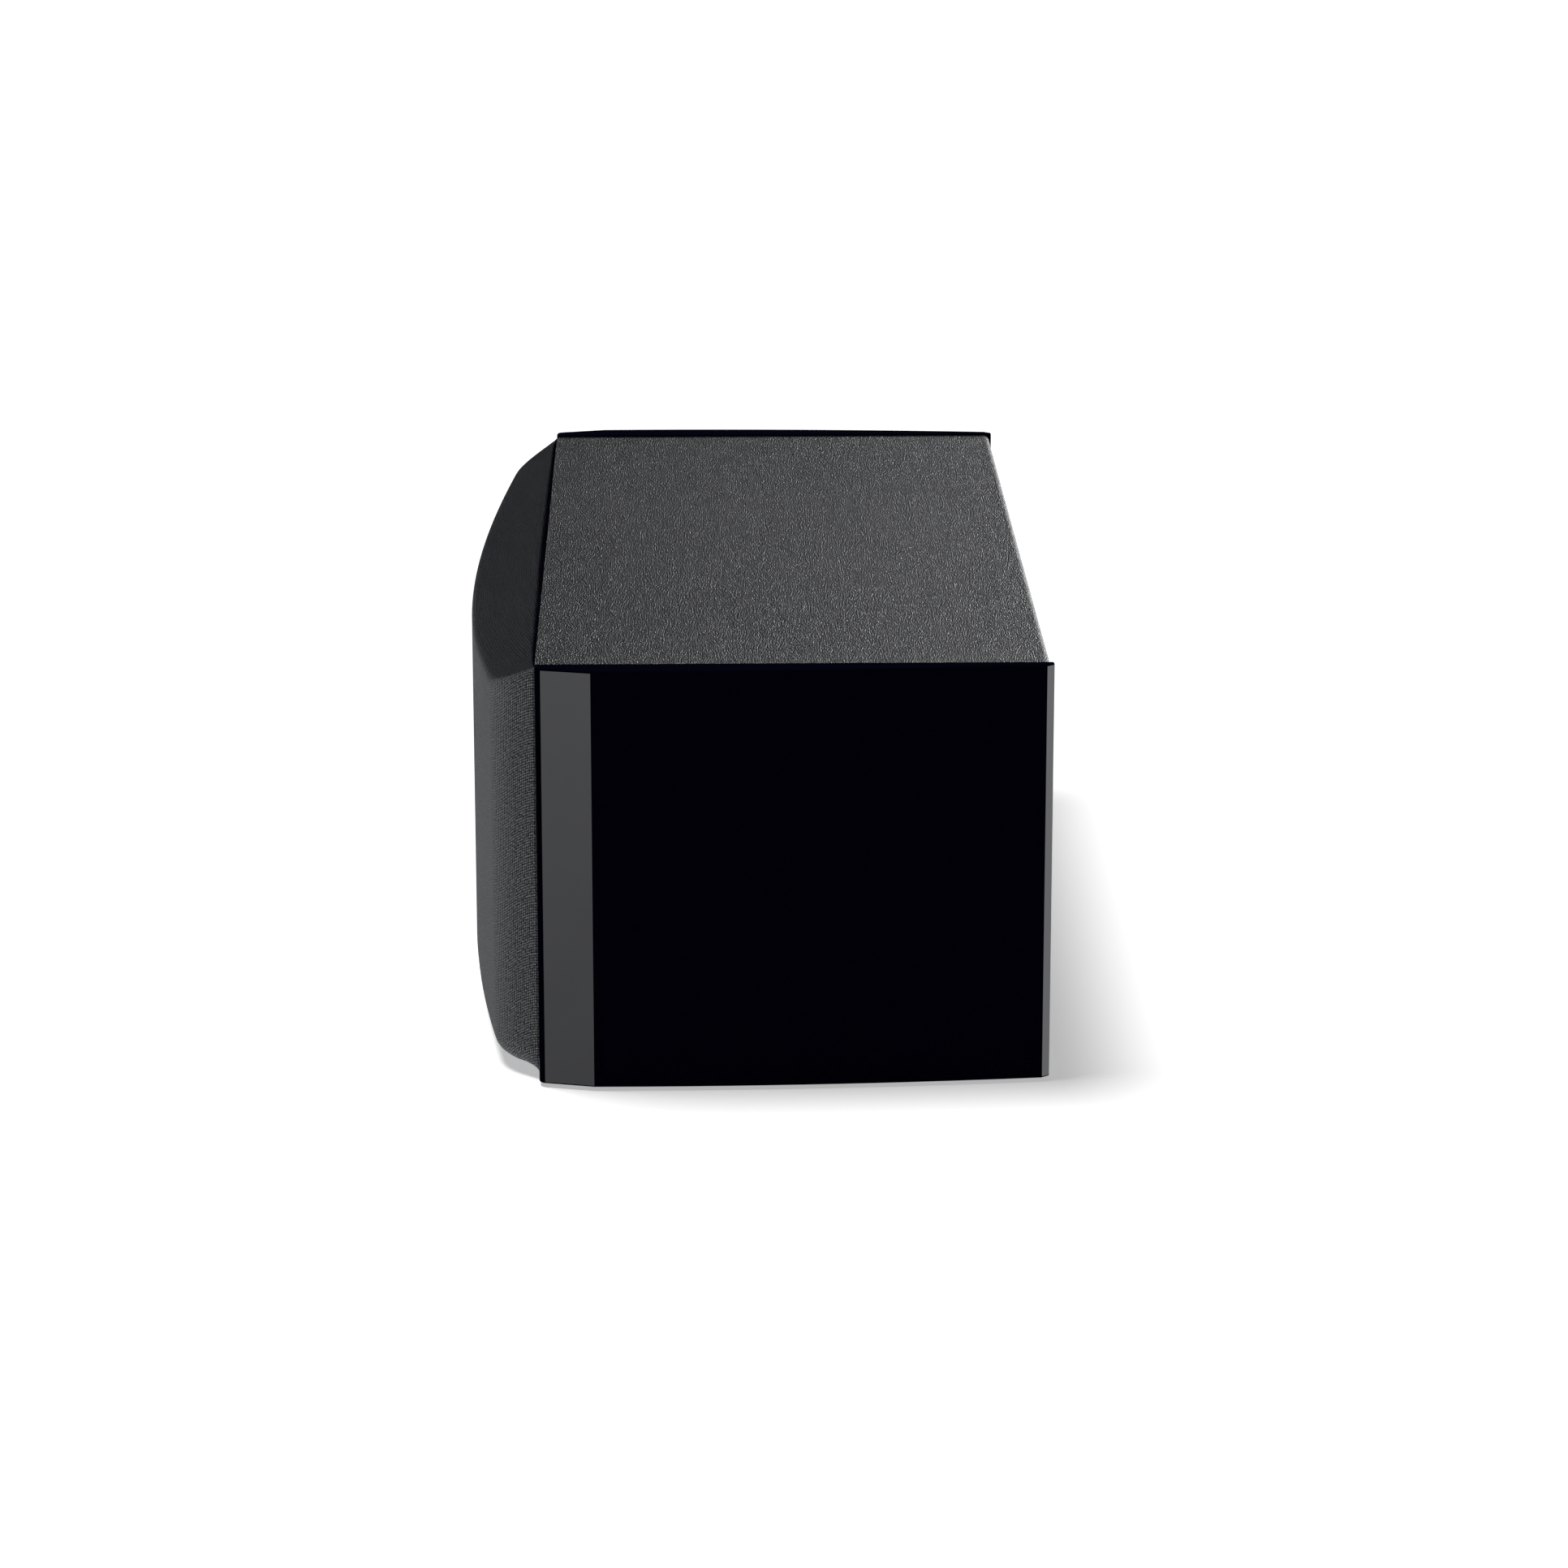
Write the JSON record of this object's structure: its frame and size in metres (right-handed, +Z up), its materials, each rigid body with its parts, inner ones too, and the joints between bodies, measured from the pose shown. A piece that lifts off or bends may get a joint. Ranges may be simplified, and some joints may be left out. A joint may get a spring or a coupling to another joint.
{
  "type": "bookshelf speaker",
  "caption": "Wide low bookshelf loudspeaker with bowed gloss side panels, grained top, bulging pull-off cloth grille, two woofers, a tweeter and rear screw terminals.",
  "frame": {"origin": "centre of the footprint, on the plane the feet stand on", "axes": "the grille faces -Y and the terminals face +Y; +X runs along the cabinet's long side, to the right of someone facing the grille; +Z up"},
  "size_m": [0.576, 0.298, 0.218],
  "materials": {
    "vinyl_wrap": "fine grained",
    "fibreboard": "raw board",
    "black_lacquer": "gloss lacquer",
    "rubber": "matt",
    "wadding": "loose fibre",
    "grille_cloth": "woven",
    "black_plastic": "satin",
    "cast_basket": "black powder coat",
    "plated_steel": "zinc plate",
    "ferrite": "sintered",
    "copper_coil": "enamelled wire",
    "cone": "satin weave",
    "spider_cloth": "impregnated cloth",
    "dome_fabric": "coated",
    "brass": "polished",
    "black_screw": "black oxide",
    "circuit_board": "solder mask",
    "capacitor_film": "film",
    "resistor_ceramic": "ceramic",
    "lead_insulation": "soft",
    "red_plastic": "moulded",
    "dark_plastic": "moulded"
  },
  "bodies": {
    "cabinet": {"top_panel": "vinyl_wrap", "bottom_panel": "vinyl_wrap", "left_end_board": "vinyl_wrap", "right_end_board": "vinyl_wrap", "right_side_panel": "black_lacquer", "left_side_panel": "black_lacquer", "rubber_feet": "rubber", "front_baffle": "fibreboard", "rear_panel": "vinyl_wrap", "window_braces": "fibreboard", "damping_mats": "wadding", "grille_sockets": "rubber", "left_woofer_basket": "cast_basket", "left_woofer_top_plate": "plated_steel", "left_woofer_magnet": "ferrite", "left_woofer_yoke": "plated_steel", "left_woofer_surround": "rubber", "left_woofer_spider": "spider_cloth", "right_woofer_basket": "cast_basket", "right_woofer_top_plate": "plated_steel", "right_woofer_magnet": "ferrite", "right_woofer_yoke": "plated_steel", "right_woofer_surround": "rubber", "right_woofer_spider": "spider_cloth", "woofer_terminals": "brass", "woofer_screws": "black_screw", "tweeter_faceplate": "black_plastic", "tweeter_surround": "dome_fabric", "tweeter_top_plate": "plated_steel", "tweeter_magnet": "ferrite", "tweeter_yoke": "plated_steel", "tweeter_screws": "black_screw", "crossover_board": "circuit_board", "crossover_screws": "plated_steel", "crossover_inductors": "copper_coil", "crossover_capacitors": "capacitor_film", "crossover_resistors": "resistor_ceramic", "input_leads": "lead_insulation", "left_woofer_leads": "lead_insulation", "right_woofer_leads": "lead_insulation", "tweeter_leads": "lead_insulation", "port_tube": "black_plastic", "terminal_cup": "black_plastic", "terminal_cup_screws": "black_screw", "terminal_posts": "brass", "post_nuts": "brass"},
    "grille": {"grille_cloth": "grille_cloth", "grille_frame": "black_plastic"},
    "left_cone": {"left_woofer_cone": "cone", "left_woofer_voice_coil": "copper_coil"},
    "right_cone": {"right_woofer_cone": "cone", "right_woofer_voice_coil": "copper_coil"},
    "dome": {"tweeter_dome": "dome_fabric", "tweeter_voice_coil": "copper_coil"},
    "negative_washer": {"negative_clamp_washer": "brass"},
    "positive_washer": {"positive_clamp_washer": "brass"},
    "negative_cap": {"negative_post_cap": "dark_plastic"},
    "positive_cap": {"positive_post_cap": "red_plastic"}
  },
  "joints": [
    {"name": "grille_pull", "type": "slide", "parent": "cabinet", "child": "grille", "axis": [0, -1, 0], "range_m": [0, 0.06]},
    {"name": "left_cone_stroke", "type": "slide", "parent": "cabinet", "child": "left_cone", "axis": [0, -1, 0], "range_m": [-0.005, 0.005], "stiffness_N_per_m": 1500, "deforming": ["left_woofer_surround", "left_woofer_spider"]},
    {"name": "right_cone_stroke", "type": "slide", "parent": "cabinet", "child": "right_cone", "axis": [0, -1, 0], "range_m": [-0.005, 0.005], "stiffness_N_per_m": 1500, "deforming": ["right_woofer_surround", "right_woofer_spider"]},
    {"name": "dome_stroke", "type": "slide", "parent": "cabinet", "child": "dome", "axis": [0, -1, 0], "range_m": [-0.0005, 0.0005], "stiffness_N_per_m": 1000, "deforming": ["tweeter_surround"]},
    {"name": "negative_washer_lift", "type": "slide", "parent": "cabinet", "child": "negative_washer", "axis": [0, 1, 0], "range_m": [0, 0.004]},
    {"name": "negative_cap_turn", "type": "hinge", "parent": "negative_washer", "child": "negative_cap", "pos_m": [-0.0095, 0.1355, 0.11], "axis": [0, -1, 0], "range_deg": [0, 1445]},
    {"name": "positive_washer_lift", "type": "slide", "parent": "cabinet", "child": "positive_washer", "axis": [0, 1, 0], "range_m": [0, 0.004]},
    {"name": "positive_cap_turn", "type": "hinge", "parent": "positive_washer", "child": "positive_cap", "pos_m": [0.0095, 0.1355, 0.11], "axis": [0, -1, 0], "range_deg": [0, 1445]}
  ],
  "couplings": [
    {"joint": "negative_cap_turn", "follows": "negative_washer_lift", "rad_per_m": 6283.2},
    {"joint": "positive_cap_turn", "follows": "positive_washer_lift", "rad_per_m": 6283.2}
  ]
}
